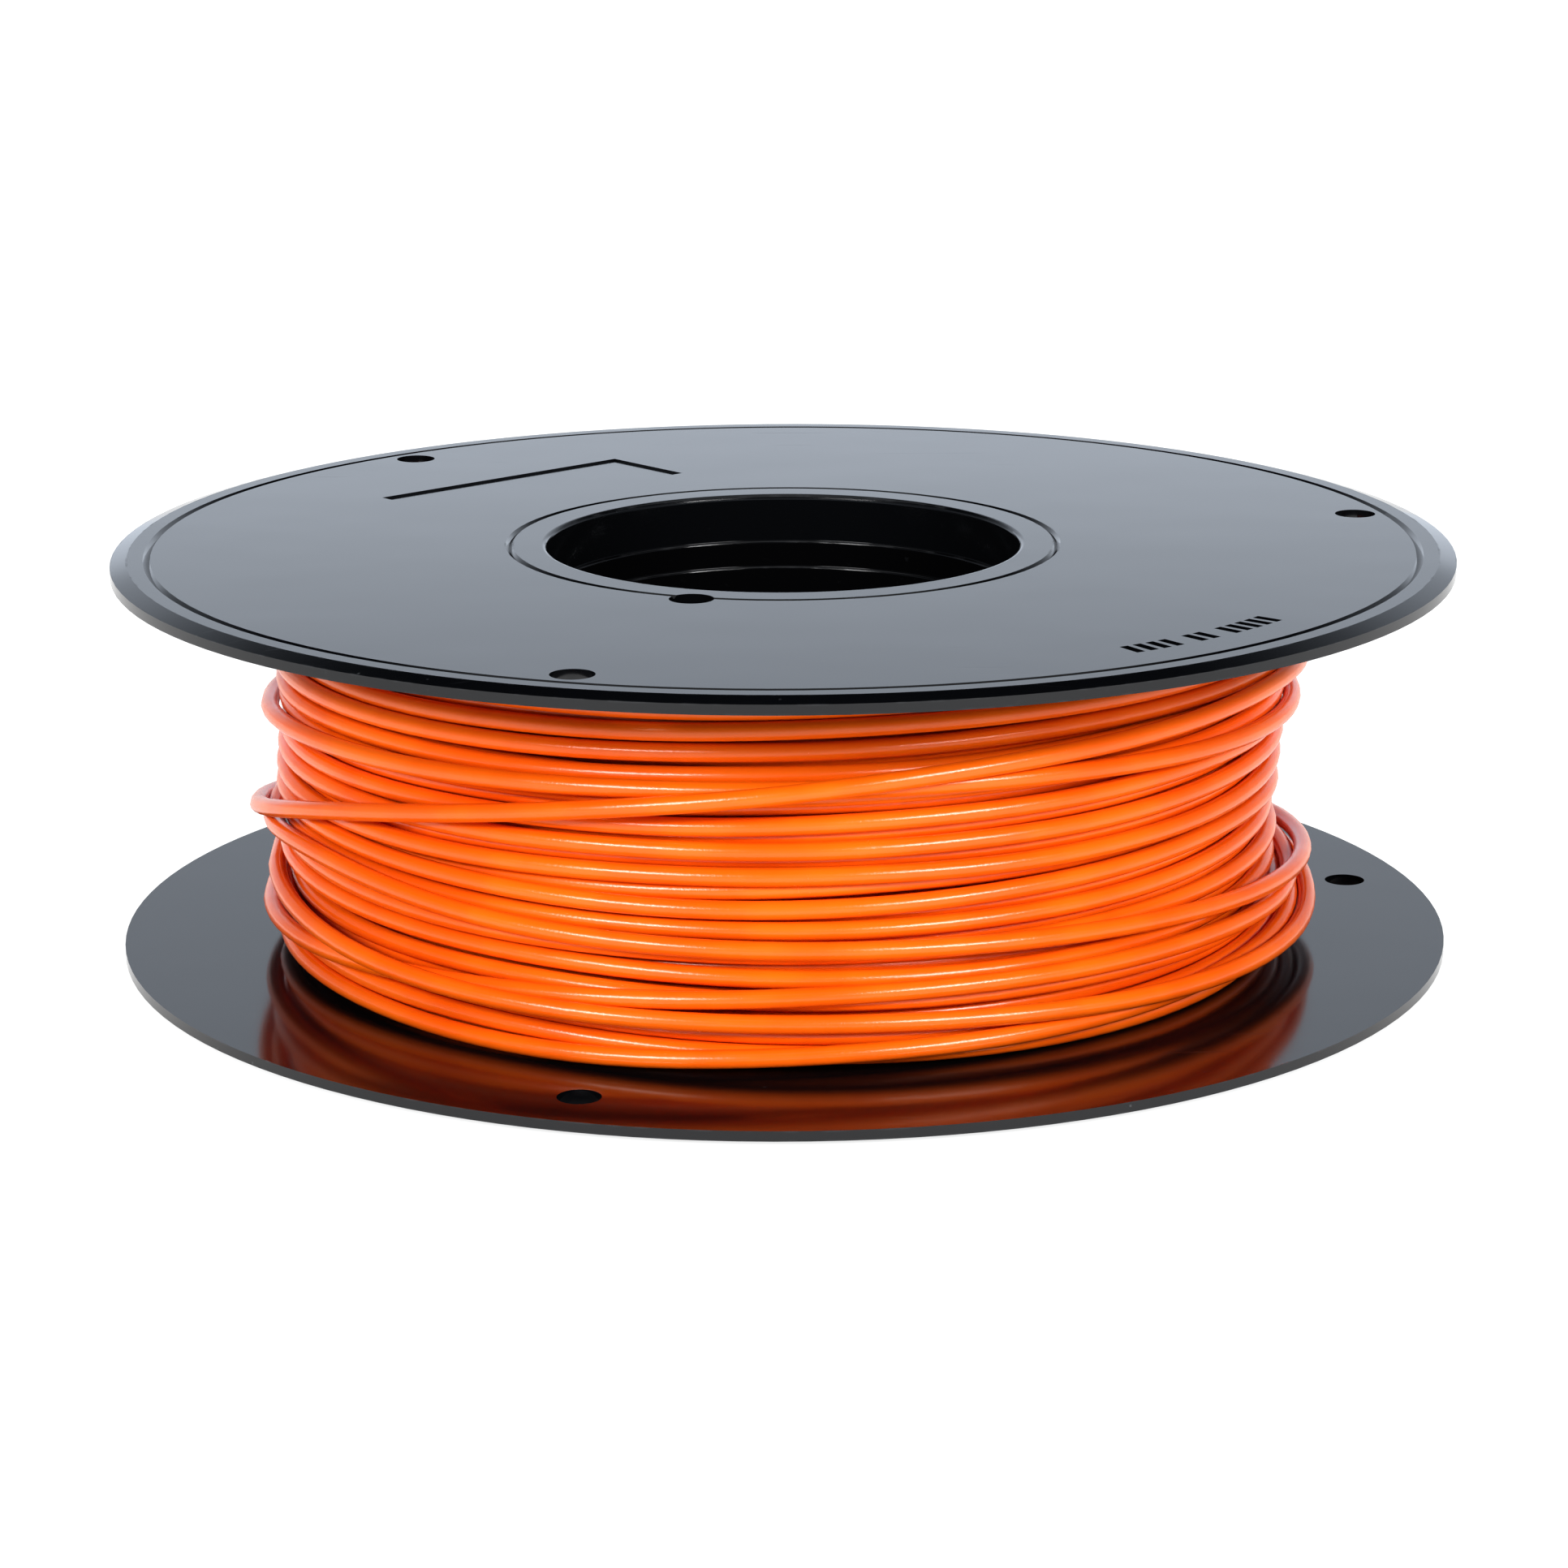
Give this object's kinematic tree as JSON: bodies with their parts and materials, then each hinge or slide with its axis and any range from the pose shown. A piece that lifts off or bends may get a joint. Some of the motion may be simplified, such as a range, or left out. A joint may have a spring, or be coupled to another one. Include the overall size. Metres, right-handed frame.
{
  "type": "filament spool",
  "caption": "Two-flange plastic spool with a stepped central bore, wound full of round plastic strand for a 3-D printer.",
  "frame": {"origin": "centre of the lower flange's outer face, which the spool lies on", "axes": "+Z along the spool's axis, from the lower flange to the upper one; a parking hole lies 12 degrees from +X"},
  "size_m": [0.13, 0.13, 0.0395],
  "materials": {
    "flange": "polished black, with fine handling marks",
    "hub_ring": "polished black",
    "core": "glossy black",
    "filament": "smooth satin orange"
  },
  "bodies": {
    "root": {"flange_top": "flange", "flange_bottom": "flange", "hub_ring_top": "hub_ring", "hub_ring_bottom": "hub_ring", "hub_core": "core", "filament_coil": "filament", "filament_start": "filament", "filament_end": "filament"}
  },
  "joints": []
}
